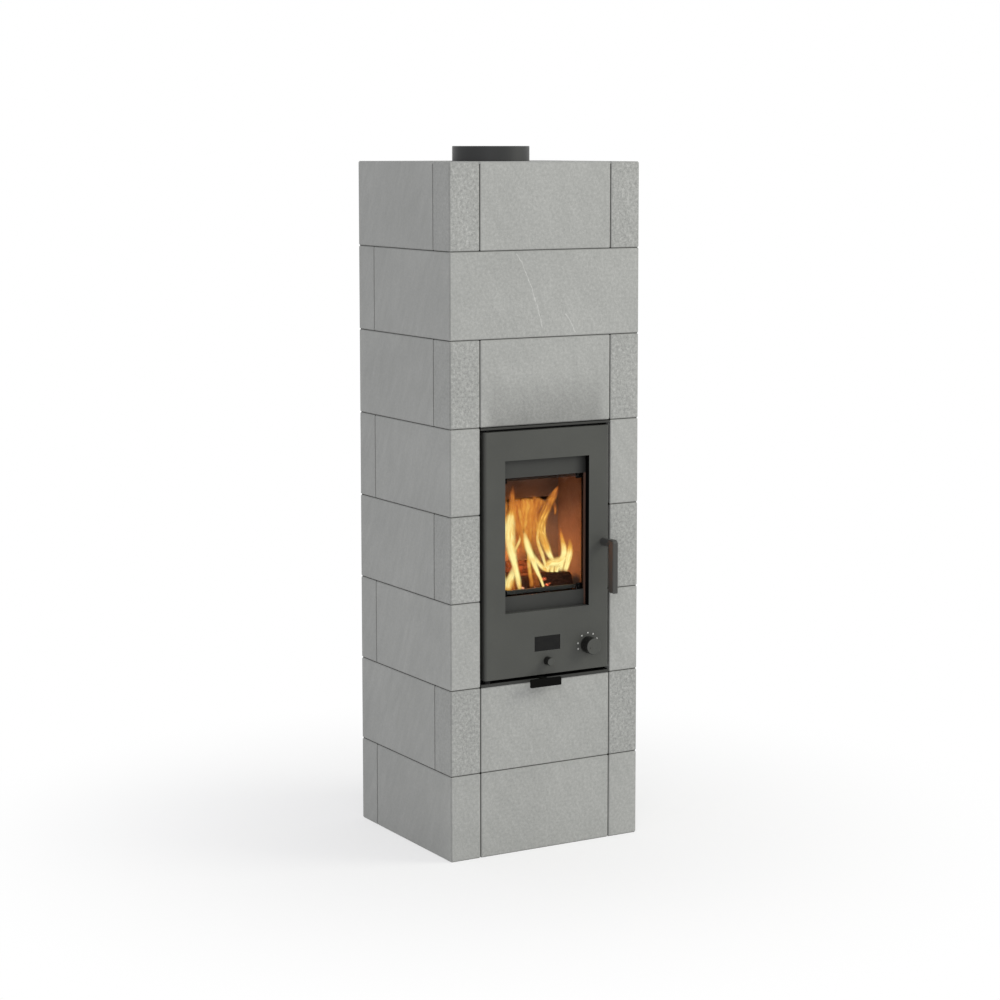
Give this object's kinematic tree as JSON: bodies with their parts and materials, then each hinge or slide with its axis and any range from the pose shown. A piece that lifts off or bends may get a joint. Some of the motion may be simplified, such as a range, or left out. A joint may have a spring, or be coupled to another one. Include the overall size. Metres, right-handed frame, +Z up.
{
  "type": "wood-burning stove",
  "caption": "Tall column stove of stacked soapstone around a steel insert, with a glazed fire door, air dial, push button, sliding air damper and a flue collar on top.",
  "frame": {"origin": "on the floor, at the centre of the stone column's footprint and on the axis of the fresh-air duct", "axes": "+Z up, -Y out of the fire door into the room, +X to the right of a person facing the door"},
  "size_m": [0.45, 0.4545, 1.4555],
  "materials": {
    "soapstone": "matte",
    "storage_stone": "matte",
    "fire_lining": "matte",
    "door_steel": "satin",
    "frame_steel": "satin",
    "handle_steel": "satin",
    "knob_steel": "satin",
    "collar_steel": "satin",
    "black_steel": "matte",
    "tab_steel": "satin",
    "galvanised_steel": "satin",
    "spring_steel": "satin",
    "cast_grate": "matte",
    "door_glass": "gloss",
    "display_glass": "gloss",
    "button_plastic": "satin",
    "return_rubber": "matte",
    "rope_seal": "matte",
    "board": "satin"
  },
  "bodies": {
    "stove": {"course_1_back_stone": "soapstone", "course_1_side_stones": "soapstone", "course_1_front_stone": "soapstone", "course_2_back_stone": "soapstone", "course_2_side_stones": "soapstone", "course_2_corner_blocks": "soapstone", "course_2_front_stone": "soapstone", "course_3_back_stone": "soapstone", "course_3_side_stones": "soapstone", "course_4_back_stone": "soapstone", "course_4_side_stones": "soapstone", "course_4_corner_blocks": "soapstone", "course_5_back_stone": "soapstone", "course_5_side_stones": "soapstone", "course_6_back_stone": "soapstone", "course_6_side_stones": "soapstone", "course_6_corner_blocks": "soapstone", "course_6_front_stone": "soapstone", "course_7_back_stone": "soapstone", "course_7_side_stones": "soapstone", "course_7_front_stone": "soapstone", "course_8_back_stone": "soapstone", "course_8_side_stones": "soapstone", "course_8_corner_blocks": "soapstone", "course_8_front_stone": "soapstone", "top_slab": "soapstone", "plinth_stones": "storage_stone", "air_duct": "galvanised_steel", "air_box": "galvanised_steel", "firebox_body": "black_steel", "front_frame": "frame_steel", "lining_sides": "fire_lining", "lining_back": "fire_lining", "lining_floor": "fire_lining", "baffle_plate": "fire_lining", "storage_stones": "storage_stone", "grate": "cast_grate", "ash_pan": "galvanised_steel", "log_guard": "black_steel", "flue_pipe": "black_steel", "flue_collar": "collar_steel", "latch_catch": "spring_steel", "hinge_pins": "spring_steel"},
    "door": {"door_panel": "door_steel", "door_inner_frame": "frame_steel", "door_glass": "door_glass", "glass_tape": "rope_seal", "door_gasket": "rope_seal", "glass_clips": "spring_steel", "clip_screws": "spring_steel", "circuit_board": "board", "display_glass": "display_glass", "button_spring": "return_rubber"},
    "handle": {"door_handle": "handle_steel", "latch_tongue": "spring_steel"},
    "dial": {"dial_knob": "knob_steel", "air_disc": "galvanised_steel"},
    "button": {"display_button": "button_plastic"},
    "damper": {"air_damper": "tab_steel"}
  },
  "joints": [
    {"name": "door_hinge", "type": "hinge", "parent": "stove", "child": "door", "pos_m": [-0.137, -0.194, 0.625], "axis": [0, 0, -1], "range_deg": [0, 110]},
    {"name": "handle_turn", "type": "hinge", "parent": "door", "child": "handle", "pos_m": [0.1355, -0.206, 0.6355], "axis": [0, -1, 0], "range_deg": [0, 90]},
    {"name": "air_dial", "type": "hinge", "parent": "door", "child": "dial", "pos_m": [0.0985, -0.206, 0.4215], "axis": [0, 1, 0], "range_deg": [0, 270]},
    {"name": "button_push", "type": "slide", "parent": "door", "child": "button", "axis": [0, 1, 0], "range_m": [0, 0.003], "stiffness_N_per_m": 400, "springref_m": -0.001, "deforming": ["button_spring"]},
    {"name": "air_slide", "type": "slide", "parent": "stove", "child": "damper", "axis": [1, 0, 0], "range_m": [-0.01, 0.038]}
  ]
}
